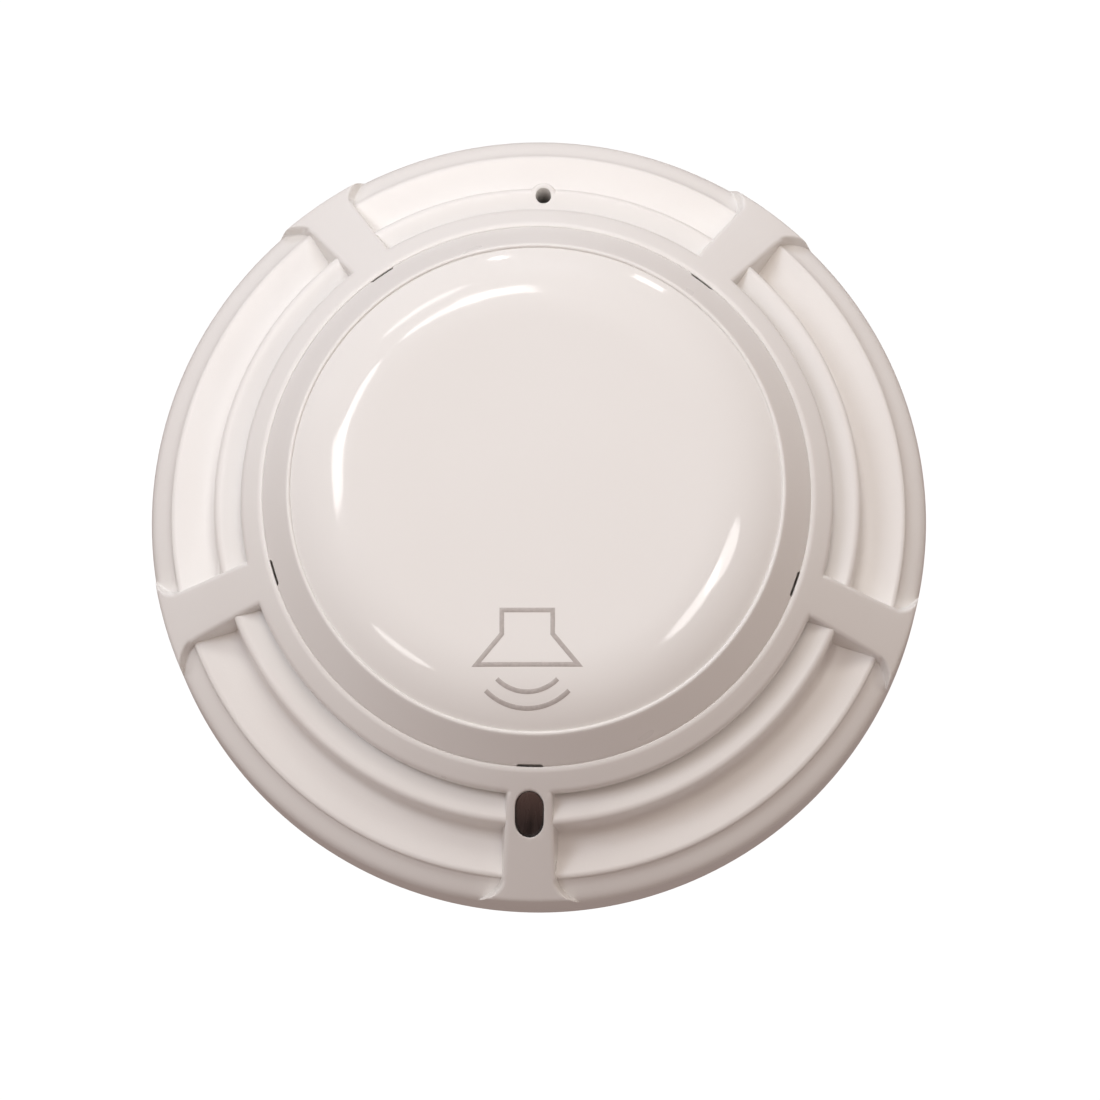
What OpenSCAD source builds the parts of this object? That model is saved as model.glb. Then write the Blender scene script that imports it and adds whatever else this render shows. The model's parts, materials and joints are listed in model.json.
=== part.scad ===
// Ceiling heat detector head with a built-in sounder, on a twist-lock base.
// Origin: centre of the base's flat back. +Z points away from the ceiling, and
// the indicator rib points along -Y. Millimetres and degrees throughout.

/* [Head] */
// Outer diameter of the head
head_d = 110; // [109:0.5:111]
// Height of the outer edge's upright part
skirt_top_z = 13.4; // [13:0.1:13.8]
// Radius where the bezel meets the cover
ring_r = 38.6; // [38.4:0.1:38.7]
// Height where the bezel meets the cover
ring_z = 31; // [30.8:0.1:31.2]
// Plan radius of the dome cap
dome_r = 33.3; // [33.1:0.1:33.4]
// Height of the dome's centre
dome_top_z = 40.2; // [40:0.1:40.6]

/* [Ribs and windows] */
// Width of a rib
rib_w = 6.8; // [6.6:0.1:7]
// Inner radius of the windows between the ribs
window_in_r = 41.4; // [41.3:0.1:41.5]
// Outer radius of the windows between the ribs
window_out_r = 52; // [51.9:0.1:52.1]
// Concave radius where a rib meets the rim
rib_flare_r = 4; // [3:0.5:4.5]

/* [Indicator and lock hole] */
// Width of the indicator window
lens_w = 4; // [3.6:0.1:4.2]
// Length of the indicator window in plan
lens_len = 5.8; // [5.4:0.1:6]
// Distance of the indicator window from the centre
lens_y = 44; // [43.8:0.1:44.1]
// Radius of the hole that the release tool enters
tool_hole_r = 1.1; // [1:0.1:1.3]
// Sideways shift of the tool hole
tool_hole_x = -0.6; // [-0.8:0.1:0]
// Distance of the tool hole from the centre
tool_hole_y = 44.1; // [43.8:0.1:44.2]

/* [Base] */
// Outer radius of the mounting base
base_r = 51.4; // [51.2:0.1:51.5]
// Height of the mounting base
base_h = 9; // [8.8:0.1:9.2]
// Thickness of the base's floor
base_floor = 2.4; // [2.2:0.1:2.6]
// Radius of the cable entry
cable_r = 12; // [10:0.5:13]
// Distance between the centres of the two screw slots
slot_spacing = 60; // [58:1:62]
// Width of a screw slot, for an M4 screw
slot_w = 4.5; // [4.3:0.1:4.8]
// End-to-end length of a screw slot
slot_len = 9; // [8:0.5:10]

/* [Twist lock] */
// Turn that frees the head, in degrees
twist = 18; // [16:1:20]
// Number of bayonet lugs
lug_count = 3; // [2:1:3]
// Arc of one lug, in degrees
lug_arc = 14; // [12:1:14]
// Arc of one base hook, in degrees
hook_arc = 16; // [14:1:16]
// Travel of the lock latch
latch_travel = 2; // [1.5:0.1:2]

/* [Circuit board] */
// Radius of the circuit board
board_r = 38.6; // [38:0.1:38.8]
// Underside of the circuit board
board_z = 15; // [14.9:0.1:15.1]
// Thickness of the circuit board
board_t = 1.6; // [1.5:0.1:1.7]

/* [Hidden] */

$fn = 96;
overlap = 0.2;        // how far joined shapes run into each other
through = 0.5;        // how far a cutter runs past the face it cuts
head_r = head_d / 2;
rib_count = 5;
rib_step = 360 / rib_count;
led_angle = 270;      // the rib that carries the indicator
lock_angle = 90;       // where the lock latch and its hole are

// Cone that the ribs and the ring zone share
shoulder_r = 53.3;
shoulder_z = 15.9;
cone_slope = (ring_z - shoulder_z) / (shoulder_r - ring_r);
cover_drop = 2.8;     // height of the cover's wall under the cone
skirt_bottom = 1.2;
skirt_in_r = head_r - 2;
rim_crest_r = head_r - 1.8;
rim_turn_r = 2;
// The rim's outer face slopes at 45 degrees from its crest to its outer turn
crest_z = skirt_top_z - 1.5 + rim_turn_r * sin(45)
    + (head_r - rim_turn_r * (1 - cos(45)) - rim_crest_r);
lip_z = 26.3;         // underside of the cover over the air gap
shelf_z = 28;         // underside of the shelf that carries the bezel
bezel_seat_z = 29.4;
rib_wall = 1.4;

// Floor of the head
floor_z = 9.5;
floor_top = 11.5;
floor_r = 52.8;
bayonet_in_r = 44.8;
bayonet_out_r = 46.4;
bayonet_z = 3.2;
lug_out_r = 49.55;
lug_z = 3.6;
lug_h = 2.5;
lug_first = 30;

// Base rim and hooks
base_rim_in = 49.6;
recess_t = 0.8;      // depth of the hollows in the base's back
hook_in_r = 46.9;
hook_z = 6.4;
hook_h = 2.2;

// Contacts, four round the base
contact_count = 4;
contact_first = 45;
clamp_hole_r = 1.75;
clamp_hole_z = 1.8;    // bottom of the blind hole under a terminal screw
contact_r = 30.5;
contact_w = 5;
contact_touch_z = 8.85;
terminal_back = 9.6;   // from the finger's crest back to the screw
block_top = 5;
strip_t = 0.8;

// Screws
housing_screw_r = 42;
housing_screw_angles = [54, 126, 198, 342];
board_screw_r = 33;
board_screw_first = 0;
board_top = board_z + board_t;

// Stepped housing
plate_z = 23;
plate_top = 24.6;
notch_in_r = 38.8;
notch_gap = 0.3;

// Sounder
cup_z = 26.4;
cup_r = 22;
cup_top = 34;
piezo_z = 31;
piezo_r = 17.5;
brass_t = 0.4;
ceramic_t = 0.3;
ear_r = 24.5;
ear_first = 75;

// Latch
latch_y = 41;          // inner face of the latch's head
latch_top = 14.8;
tooth_w = 3.2;
stop_arc = 6;          // arc of a stop in the base, in degrees
stop_gap = 1.5;        // free turn past each end of the twist, in degrees

function polar(r, a) = [r * cos(a), r * sin(a)];
function arc_points(c, r, a0, a1, n) =
    [for (i = [0:n]) c + polar(r, a0 + (a1 - a0) * i / n)];
function cone_z(r) = ring_z - (r - ring_r) * cone_slope;

// A block of a ring: radii r0 to r1, heights z0 to z1, centred on an angle
module arc_block(r0, r1, z0, z1, middle, span) {
    rotate([0, 0, middle - span / 2])
        rotate_extrude(angle = span)
            translate([r0, z0]) square([r1 - r0, z1 - z0]);
}

module ring(r0, r1, z0, z1) {
    rotate_extrude()
        translate([r0, z0]) square([r1 - r0, z1 - z0]);
}

// A stadium-shaped prism, long along X
module slot(length, width, h) {
    r = width / 2;
    reach = length / 2 - r;
    linear_extrude(h) union() {
        translate([-reach, -r]) square([2 * reach, width]);
        for (s = [-1, 1]) translate([s * reach, 0]) circle(r);
    }
}

// A round tube swept along points, all in one closed skin. level is a direction
// that the route never runs along, and it keeps the rings from twisting
module tube(points, r, sides, level) {
    last = len(points) - 1;
    function unit(v) = v / norm(v);
    function along(i) =
        unit(points[min(i + 1, last)] - points[max(i - 1, 0)]);
    function side(i) = unit(cross(along(i), level));
    skin = [for (i = [0:last])
        let (u = side(i), v = cross(along(i), u))
        for (k = [0:sides - 1])
            points[i] + r * (cos(360 * k / sides) * u + sin(360 * k / sides) * v)];
    walls = [for (i = [0:last - 1], k = [0:sides - 1])
        let (n = (k + 1) % sides)
        [i * sides + k, (i + 1) * sides + k, (i + 1) * sides + n, i * sides + n]];
    caps = [[for (k = [0:sides - 1]) k],
            [for (k = [sides - 1:-1:0]) last * sides + k]];
    polyhedron(skin, concat(walls, caps), convexity = 6);
}

// A pan-head screw pointing along -Z, its head's underside at z = 0
module pan_screw(shank_r, shank_len, top_r, top_h) {
    recess_r = top_r * 0.5;
    difference() {
        union() {
            translate([0, 0, -shank_len]) cylinder(r = shank_r, h = shank_len + overlap);
            cylinder(r1 = top_r, r2 = top_r * 0.8, h = top_h);
        }
        for (a = [0, 90]) rotate([0, 0, a])
            translate([-recess_r, -0.3, top_h * 0.4]) cube([2 * recess_r, 0.6, top_h]);
    }
}

// ---- Base ----

module base_profile() {
    chamfer = 0.8;
    polygon([
        [0, 0], [base_r - chamfer, 0], [base_r, chamfer],
        [base_r, base_h - 0.3], [base_r - 0.3, base_h], [base_rim_in, base_h],
        [base_rim_in, base_floor], [0, base_floor]]);
}

// Stops for the latch's tooth, one past each end of the twist
module twist_stops() {
    half = asin(tooth_w / 2 / latch_y) + stop_gap + stop_arc / 2;
    for (middle = [lock_angle - half, lock_angle + twist + half])
        arc_block(latch_y - latch_travel - 0.2, latch_y + 2.2,
                  base_floor - overlap, 7, middle, stop_arc);
}

module terminal_block() {
    back = terminal_back + 5;
    translate([contact_r - 5, -back, base_floor - overlap])
        cube([10, back + 4, block_top - base_floor + overlap]);
}

// The back stands on its rim, on spokes and on pads round the screw slots
module back_recess() {
    spoke_w = 1.6;
    pad = 7;
    hoop_r = 38;
    difference() {
        ring(cable_r + 2.5, base_r - 4, -through, recess_t);
        for (a = [0:30:150]) rotate([0, 0, a])
            translate([-base_r, -spoke_w / 2, -1]) cube([2 * base_r, spoke_w, 3]);
        for (s = [-1, 1]) translate([s * slot_spacing / 2, 0, -1])
            slot(slot_len + pad, slot_w + pad, 3);
        ring(hoop_r, hoop_r + spoke_w, -1, 3);
    }
}

module mounting_base() {
    color("white")
    difference() {
        union() {
            rotate_extrude() base_profile();
            for (i = [0:lug_count - 1])
                arc_block(hook_in_r, base_rim_in + 1, hook_z, hook_z + hook_h,
                          lug_first + i * 360 / lug_count, hook_arc);
            for (i = [0:contact_count - 1])
                rotate([0, 0, contact_first + i * 90]) terminal_block();
            ring(cable_r - 1, cable_r + 2, 1, 5);
            twist_stops();
        }
        back_recess();
        translate([0, 0, -through]) cylinder(r = cable_r, h = base_h);
        for (s = [-1, 1]) translate([s * slot_spacing / 2, 0, -through])
            slot(slot_len, slot_w, base_h);
        for (i = [0:contact_count - 1])
            rotate([0, 0, contact_first + i * 90])
                translate([contact_r, -terminal_back, clamp_hole_z])
                    cylinder(r = clamp_hole_r, h = base_h);
    }
}

// A stamped strip: flat under the screw, rising to a rounded crest
module contact_strip() {
    foot = terminal_back + 4;
    rise = contact_touch_z - block_top - strip_t;
    crest = [[-4, rise * 0.75], [-1.4, rise], [1.4, rise], [4, rise * 0.7]];
    top = [for (p = crest) p + [0, strip_t]];
    rotate([90, 0, 90])
        linear_extrude(contact_w)
            polygon(concat([[-foot, 0], [-5, 0]], crest,
                           [for (k = [3:-1:0]) top[k]],
                           [[-5.4, strip_t], [-foot, strip_t]]));
}

module base_contacts() {
    color("gold")
    for (i = [0:contact_count - 1])
        rotate([0, 0, contact_first + i * 90])
            difference() {
                translate([contact_r - contact_w / 2, 0, block_top]) contact_strip();
                translate([contact_r, -terminal_back, block_top - 1])
                    cylinder(r = clamp_hole_r, h = 4);
            }
}

module terminal_clamps() {
    clamp_w = 7.6;
    color("silver")
    for (i = [0:contact_count - 1])
        rotate([0, 0, contact_first + i * 90])
            translate([contact_r, -terminal_back, block_top + strip_t])
                difference() {
                    translate([-clamp_w / 2, -clamp_w / 2, 0]) cube([clamp_w, clamp_w, 1]);
                    translate([0, 0, -through]) cylinder(r = clamp_hole_r, h = 2);
                }
}

module terminal_screws() {
    color("silver")
    for (i = [0:contact_count - 1])
        rotate([0, 0, contact_first + i * 90])
            translate([contact_r, -terminal_back, block_top + strip_t + 1])
                pan_screw(clamp_hole_r - 0.05, 4.7, 3.1, 1.7);
}

// ---- Rear housing ----

module rear_housing() {
    slot_y = latch_y - latch_travel - 0.2;
    color("white")
    difference() {
        union() {
            ring(0, floor_r, floor_z, floor_top);
            ring(bayonet_in_r, bayonet_out_r, bayonet_z, floor_z + overlap);
            for (i = [0:lug_count - 1])
                arc_block(bayonet_out_r - 0.6, lug_out_r, lug_z, lug_z + lug_h,
                          lug_first + i * 360 / lug_count, lug_arc);
            for (i = [0:2]) rotate([0, 0, board_screw_first + i * 120])
                translate([board_screw_r, 0, floor_top - overlap])
                    cylinder(r = 3, h = board_z - floor_top + overlap);
            // Post that the latch spring pushes against
            translate([-2.5, 33, floor_top - overlap])
                cube([5, 1.6, board_z - floor_top + overlap]);
        }
        for (i = [0:2]) rotate([0, 0, board_screw_first + i * 120])
            translate([board_screw_r, 0, floor_top - 1]) cylinder(r = 1.15, h = 8);
        for (a = housing_screw_angles) rotate([0, 0, a])
            translate([housing_screw_r, 0, floor_z - through]) cylinder(r = 1.6, h = 4);
        for (i = [0:contact_count - 1]) rotate([0, 0, contact_first + i * 90])
            translate([contact_r, 0, floor_z - through]) cylinder(r = 1, h = 4);
        translate([-tooth_w / 2 - 0.2, slot_y, floor_z - through])
            cube([tooth_w + 0.4, latch_travel + 2.4, 4]);
    }
}

module head_contacts() {
    color("gold")
    for (i = [0:contact_count - 1]) rotate([0, 0, contact_first + i * 90]) {
        arc_block(contact_r - 3.5, contact_r + 3.5, floor_z - 0.6, floor_z, 0, 14);
        translate([contact_r, 0, floor_z - 0.3])
            cylinder(r = 0.9, h = board_top + 0.8 - floor_z + 0.3);
    }
}

module sealing_gasket() {
    color("dimgray") ring(base_rim_in + 0.2, base_r - 0.2, base_h + 0.06, floor_z);
}

module housing_screws() {
    color("silver")
    for (a = housing_screw_angles) rotate([0, 0, a])
        translate([housing_screw_r, 0, floor_z]) mirror([0, 0, 1])
            pan_screw(1.25, 8.5, 2.4, 1.5);
}

// ---- Board and what stands on it ----

module circuit_board() {
    color("green")
    difference() {
        union() {
            translate([0, 0, board_z]) cylinder(r = board_r, h = board_t);
            translate([-1.8, -43.2, board_z]) cube([3.6, 8, board_t]);
        }
        for (i = [0:2]) rotate([0, 0, board_screw_first + i * 120])
            translate([board_screw_r, 0, board_z - 1]) cylinder(r = 1.3, h = 4);
        for (i = [0:contact_count - 1]) rotate([0, 0, contact_first + i * 90])
            translate([contact_r, 0, board_z - 1]) cylinder(r = 1, h = 4);
    }
}

module board_screws() {
    color("silver")
    for (i = [0:2]) rotate([0, 0, board_screw_first + i * 120])
        translate([board_screw_r, 0, board_top]) pan_screw(1.1, 5, 2.4, 1.4);
}

// A chip body with legs along two sides
module chip(length, width, h, legs) {
    pitch = length / legs;
    translate([-length / 2, -width / 2, 0.15]) cube([length, width, h]);
    for (k = [0:legs - 1], s = [-1, 1])
        translate([-length / 2 + pitch * (k + 0.5) - 0.2,
                   s > 0 ? width / 2 - overlap : -width / 2 - 1, 0])
            cube([0.4, 1 + overlap, 0.45]);
}

module microcontroller() {
    color("black") translate([-9, 12, board_top]) rotate([0, 0, 20]) chip(9, 6, 1.5, 8);
}

module driver_chip() {
    color("black") translate([12, 8, board_top]) rotate([0, 0, -15]) chip(5, 4, 1.4, 4);
}

module board_passives() {
    // Places on the board: x, y and turn
    places = [[-22, 4, 0], [-22, 7, 0], [-22, 10, 0], [-17, -4, 90], [-14, -4, 90],
              [-2, 22, 0], [3, 22, 0], [8, 20, 90], [20, 2, 0], [20, -1, 0],
              [2, -14, 0], [2, -17, 0], [-3, -30, 90], [3, -34, 0]];
    color("tan")
    for (p = places) translate([p[0], p[1], board_top]) rotate([0, 0, p[2]])
        translate([-1, -0.6, 0]) cube([2, 1.2, 0.8]);
}

module capacitors() {
    can_r = 3.15;
    color("navy")
    for (p = [[-12, -18, 5.4], [23, -7, 5.4]])
        translate([p[0], p[1], board_top]) difference() {
            cylinder(r = can_r, h = p[2]);
            translate([0, 0, 1]) rotate_extrude()
                translate([can_r + 0.1, 0]) circle(0.35);
        }
}

module transformer() {
    core_r = 4.6;
    flange_h = 0.9;
    core_h = 5.4;
    color("dimgray") translate([9, -24, board_top]) {
        cylinder(r = core_r, h = flange_h);
        cylinder(r = core_r - 1.2, h = core_h);
        translate([0, 0, core_h - flange_h]) cylinder(r = core_r, h = flange_h);
    }
}

module indicator_led() {
    color("darkred") translate([0, -41.6, board_top]) {
        translate([-1.5, -1, 0]) cube([3, 2, 0.8]);
        translate([0, 0, 0.7]) cylinder(r = 0.8, h = 0.7);
    }
}

module thermistors() {
    bead_r = 0.9;
    bead_z = 26.5;
    color("saddlebrown")
    for (a = [0, 180]) rotate([0, 0, a]) translate([37.7, 0, 0]) {
        translate([0, 0, bead_z]) sphere(bead_r, $fn = 32);
        for (s = [-0.45, 0.45]) translate([0, s, board_top])
            cylinder(r = 0.2, h = bead_z - board_top, $fn = 24);
    }
}

// ---- Indicator light pipe ----

module light_pipe() {
    inset = 0.1;
    bottom = board_top + 1.7;
    recess = 0.35;
    color([0.12, 0.08, 0.08])
    intersection() {
        translate([0, -lens_y, bottom]) rotate([0, 0, 90])
            slot(lens_len - 2 * inset, lens_w - 2 * inset, 16);
        rotate_extrude() polygon([
            [0, 0], [head_r, 0], [head_r, cone_z(head_r) - recess],
            [ring_r, cone_z(ring_r) - recess], [0, cone_z(ring_r) - recess]]);
    }
}

// ---- Stepped housing ----

housing_r = window_out_r - 0.15;
upper_edge_r = 1.3;
lower_edge_r = 1.4;
wall_foot = [45.2, 16.9];

function terrace_line() = concat(
    [[housing_r, floor_top]],
    arc_points([housing_r - lower_edge_r, 14.5], lower_edge_r, 0, 84, 6),
    [wall_foot],
    arc_points([43, 23], upper_edge_r, 8, 84, 6),
    [[41.2, plate_top]]
);

module housing_profile() {
    // The same steps inside, thinner by the wall
    inner = [[39, plate_z], [42.3, plate_z], [42.8, 22.4], [43.6, 15.3],
             [49.6, 14.5], [50.3, 13.8], [50.3, floor_top]];
    polygon(concat([[0, plate_z]], inner, terrace_line(), [[0, plate_top]]));
}

module rib_notch() {
    w = rib_w + 2 * notch_gap;
    translate([notch_in_r, -w / 2, floor_top - through])
        cube([head_r - notch_in_r, w, plate_top]);
}

module stepped_housing() {
    boss_r = 1.9;
    boss_z = 15.4;
    wire_hole_r = 1.4;
    color("white")
    difference() {
        union() {
            rotate_extrude() housing_profile();
            translate([tool_hole_x, tool_hole_y, boss_z]) cylinder(r = boss_r, h = 24 - boss_z);
            for (i = [0:2]) rotate([0, 0, ear_first + i * 120])
                translate([ear_r, 0, 20]) cylinder(r = 2.2, h = plate_z - 20 + overlap);
        }
        translate([tool_hole_x, tool_hole_y, 10]) cylinder(r = tool_hole_r, h = 20);
        for (i = [0:rib_count - 1]) rotate([0, 0, led_angle + i * rib_step]) rib_notch();
        for (s = [-1, 1]) translate([s * 37.7, 0, 20]) cylinder(r = 1.1, h = 8);
        translate([0, -29, 20]) cylinder(r = wire_hole_r, h = 8);
        for (i = [0:2]) rotate([0, 0, ear_first + i * 120])
            translate([ear_r, 0, 20.6]) cylinder(r = 0.95, h = 8);
    }
}

// ---- Sounder ----

module resonator_cup() {
    wall = 1.6;
    port_r = 3;
    ledge_r = 16;
    color("gainsboro")
    difference() {
        union() {
            ring(port_r, cup_r, cup_z, cup_z + 1.4);
            ring(cup_r - 2 * wall, cup_r, cup_z, cup_top);
            ring(ledge_r, cup_r - wall, cup_z + 1, piezo_z);
            for (i = [0:2]) rotate([0, 0, ear_first + i * 120]) {
                translate([cup_r - 2, -2.4, cup_z]) cube([4.5, 4.8, 1.6]);
                translate([ear_r, 0, plate_top]) cylinder(r = 2.4, h = cup_z + 1.6 - plate_top);
            }
        }
        for (i = [0:2]) rotate([0, 0, ear_first + i * 120])
            translate([ear_r, 0, plate_top - 1]) cylinder(r = 1.15, h = 6);
    }
}

module sounder_screws() {
    color("silver")
    for (i = [0:2]) rotate([0, 0, ear_first + i * 120])
        translate([ear_r, 0, cup_z + 1.6]) pan_screw(0.9, 6.8, 1.9, 1.2);
}

module piezo_disc() {
    color("gold") translate([0, 0, piezo_z]) cylinder(r = piezo_r, h = brass_t);
}

module piezo_ceramic() {
    color("ivory") translate([0, 0, piezo_z + brass_t]) cylinder(r = 12.5, h = ceramic_t);
}

// Each lead: from the disc, over the cup's wall, through the plate to the board
lead_r = 0.4;
red_route = [[0.5, -9, piezo_z + 1.1], [0.5, -11, 32.8], [0.5, -17, 34.8], [0.5, -22, 34.9],
             [0.5, -25, 33.4], [0.5, -27, 30], [0.5, -29, 26], [0.5, -29, board_top]];
black_route = [[-0.5, -15, piezo_z + 0.8], [-0.5, -16.5, 33], [-0.5, -19, 34.8], [-0.5, -22, 34.9],
               [-0.5, -25, 33.4], [-0.5, -27, 30], [-0.5, -29, 26], [-0.5, -29, board_top]];

module piezo_lead_red() {
    color("red") tube(red_route, lead_r, 8, [1, 0, 0]);
}

module piezo_lead_black() {
    color("black") tube(black_route, lead_r, 8, [1, 0, 0]);
}

// ---- Front cover ----

// The skin under the shared cone, from the ring zone to the upright edge
module cone_skin() {
    rotate_extrude() polygon(concat(
        [[ring_r, ring_z]],
        arc_points([52.2, 13.6], 2.8, 46, 0, 6),
        [[head_r, skirt_bottom], [skirt_in_r, skirt_bottom], [skirt_in_r, floor_top],
         [window_out_r, floor_top], [window_out_r, cone_z(window_out_r) - cover_drop],
         [ring_r, ring_z - cover_drop]]));
}

// Rim and skirt as they stand between the ribs
module rim() {
    rotate_extrude() polygon(concat(
        [[window_out_r, crest_z - 1.2], [rim_crest_r - 0.3, crest_z]],
        [[rim_crest_r, crest_z]],
        arc_points([head_r - rim_turn_r, skirt_top_z - 1.5], rim_turn_r, 45, 0, 5),
        [[head_r, skirt_bottom], [skirt_in_r, skirt_bottom], [skirt_in_r, floor_top],
         [window_out_r, floor_top]]));
}

module ring_zone() {
    shelf_in_r = 36;
    rotate_extrude() polygon([
        [shelf_in_r, shelf_z], [ring_r, shelf_z], [window_in_r - 0.9, lip_z],
        [window_in_r, lip_z], [window_in_r, cone_z(window_in_r)],
        [ring_r + 0.5, cone_z(ring_r + 0.5)], [ring_r + 0.3, ring_z],
        [ring_r + 0.1, ring_z], [ring_r, ring_z - 0.15],
        [ring_r, bezel_seat_z], [shelf_in_r, bezel_seat_z]]);
}

// Plan of one rib along +X, flaring into the rim with concave corners
module rib_plan() {
    start = 40;
    flare_x = head_r - rib_flare_r - 0.4;
    flare_half = rib_w / 2 + rib_flare_r;
    translate([start, -rib_w / 2]) square([head_r + 1 - start, rib_w]);
    difference() {
        translate([flare_x, -flare_half]) square([rib_flare_r + 1.4, 2 * flare_half]);
        for (s = [-1, 1]) translate([flare_x, s * (flare_half - 0.04)]) circle(rib_flare_r);
    }
}

// A rib is a channel: a top skin and two walls down to the floor
module rib_walls() {
    for (s = [-1, 1])
        translate([notch_in_r + 1.2, s * (rib_w - rib_wall) / 2 - rib_wall / 2, floor_top])
            cube([window_out_r + 0.3 - notch_in_r - 1.2, rib_wall, 20]);
}

module under_cone() {
    rotate_extrude() polygon([
        [0, floor_top], [window_out_r + 0.4, floor_top],
        [window_out_r + 0.4, cone_z(window_out_r + 0.4) - 1],
        [ring_r, ring_z - 1], [0, ring_z - 1]]);
}

module front_cover() {
    boss_r = 2.5;
    color("whitesmoke")
    difference() {
        union() {
            rim();
            ring_zone();
            intersection() {
                cone_skin();
                linear_extrude(40)
                    for (i = [0:rib_count - 1]) rotate([0, 0, led_angle + i * rib_step])
                        rib_plan();
            }
            intersection() {
                under_cone();
                union() {
                    for (i = [0:rib_count - 1]) rotate([0, 0, led_angle + i * rib_step])
                        rib_walls();
                    for (a = housing_screw_angles) rotate([0, 0, a])
                        translate([housing_screw_r, 0, floor_top]) cylinder(r = boss_r, h = 20);
                }
            }
        }
        translate([0, -lens_y, 16]) rotate([0, 0, 90]) slot(lens_len, lens_w, 20);
        for (a = housing_screw_angles) rotate([0, 0, a])
            translate([housing_screw_r, 0, floor_top - 1]) cylinder(r = 1.3, h = 9.5);
        for (i = [0:rib_count - 1])
            arc_block(35.8, ring_r - 0.3, shelf_z - 0.2, bezel_seat_z + 0.2,
                      led_angle + i * rib_step, 5.7);
    }
}

// ---- Bezel, dome and mark ----

bezel_top = [34.3, 36.9];

module bezel_ring() {
    foot_r = ring_r - 0.05;
    hook_in = 36.3;
    color("whitesmoke")
    difference() {
        union() {
            rotate_extrude() polygon([
                [31.4, 34], [33.6, 34], [36.6, bezel_seat_z], [foot_r, bezel_seat_z],
                [foot_r, ring_z - 0.4], bezel_top, bezel_top + [-0.25, 0.12],
                [33.75, 36.8], [33.6, 35.2], [31.4, 35.2]]);
            // Snap hooks through the shelf's slots
            for (i = [0:rib_count - 1]) {
                arc_block(hook_in, hook_in + 1.2, 26.8, bezel_seat_z + 1,
                          led_angle + i * rib_step, 5);
            }
        }
        for (i = [0:rib_count - 1])
            arc_block(foot_r - 0.45, foot_r + 1, bezel_seat_z - 1, ring_z + 1.5,
                      led_angle + i * rib_step, 5.7);
    }
}

// The dome's upper line: a faint crown, then a round shoulder
crown_drop = 0.5;
shoulder_in_r = 23.5;
shoulder_turn = 31;

function dome_line(grow) =
    let (
        crown = (pow(shoulder_in_r, 2) + pow(crown_drop, 2)) / (2 * crown_drop),
        lean = asin(shoulder_in_r / crown),
        edge = (dome_r - shoulder_in_r) / (sin(lean + shoulder_turn) - sin(lean)),
        top = [0, dome_top_z - crown],
        pivot = top + (crown - edge) * [sin(lean), cos(lean)]
    )
    concat(
        arc_points(top, crown + grow, 90, 90 - lean, 6),
        [for (k = [1:14]) pivot + polar(edge + grow, 90 - lean - shoulder_turn * k / 14)]
    );

module dome_cap() {
    wall = 1.8;
    skirt_z = 35.2;
    outer = dome_line(0);
    inner = dome_line(-wall);
    last = outer[len(outer) - 1];
    color("white") rotate_extrude() polygon(concat(
        outer, [[last[0], skirt_z], [last[0] - 1.6, skirt_z]],
        [for (k = [len(inner) - 1:-1:0]) if (inner[k][0] < last[0] - 1.6) inner[k]]));
}

// The printed symbol: a loudspeaker outline and two sound arcs
mark_line = 0.63;
mark_x = -0.8;
mark_turn = 1.3;
ink_t = 0.06;

module stroke(a, b) {
    d = b - a;
    translate(a) rotate([0, 0, atan2(d[1], d[0])])
        translate([-mark_line / 2, -mark_line / 2])
            square([norm(d) + mark_line, mark_line]);
}

module sound_arc(r, y, half_turn) {
    translate([0, y]) intersection() {
        difference() {
            circle(r + mark_line / 2);
            circle(r - mark_line / 2);
        }
        polygon([[0, 0], polar(3 * r, 270 - half_turn), polar(3 * r, 270 + half_turn)]);
    }
}

module mark_plan() {
    neck = 3.5;
    mouth = 7;
    outline = [[-neck, -17.7], [neck, -17.7], [neck, -21], [mouth, -25.2],
               [-mouth, -25.2], [-neck, -21]];
    for (k = [0:5]) stroke(outline[k], outline[(k + 1) % 6]);
    sound_arc(5.9, -23, 45);
    sound_arc(8.1, -23, 45);
}

module sounder_mark() {
    color("gray")
    intersection() {
        translate([mark_x, 0, 36]) rotate([0, 0, mark_turn]) linear_extrude(6) mark_plan();
        rotate_extrude() polygon(concat(
            dome_line(ink_t), [for (k = [20:-1:0]) dome_line(0)[k]]));
    }
}

// ---- Lock latch ----

module lock_latch() {
    head_w = 4.4;
    head_len = 4;
    tooth_z = 4;
    tooth_len = 2;
    color("white")
    union() {
        // Head with a slope that the tool pushes down on
        translate([-head_w / 2, latch_y, 0]) rotate([90, 0, 90])
            linear_extrude(head_w) polygon([
                [0, floor_top + 0.1], [head_len, floor_top + 0.1], [head_len, floor_top + 0.6],
                [head_len - 2.8, latch_top], [0, latch_top]]);
        translate([-tooth_w / 2, latch_y, tooth_z])
            cube([tooth_w, tooth_len, floor_top - tooth_z + 1]);
    }
}

module latch_spring() {
    turns = 5;
    steps = 12;
    coil_r = 1.1;
    wire_r = 0.2;
    from_y = 34.6 + wire_r;
    to_y = latch_y - wire_r;
    mid_z = 13.3;
    total = turns * steps;
    color("silver") tube(
        [for (i = [0:total])
            [coil_r * cos(360 * i / steps), from_y + (to_y - from_y) * i / total,
             mid_z + coil_r * sin(360 * i / steps)]],
        wire_r, 6, [0, 1, 0]);
}

mounting_base();
base_contacts();
terminal_clamps();
terminal_screws();
rear_housing();
head_contacts();
sealing_gasket();
housing_screws();
circuit_board();
board_screws();
microcontroller();
driver_chip();
board_passives();
capacitors();
transformer();
indicator_led();
thermistors();
light_pipe();
stepped_housing();
resonator_cup();
sounder_screws();
piezo_disc();
piezo_ceramic();
piezo_lead_red();
piezo_lead_black();
front_cover();
bezel_ring();
dome_cap();
sounder_mark();
lock_latch();
latch_spring();
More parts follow.
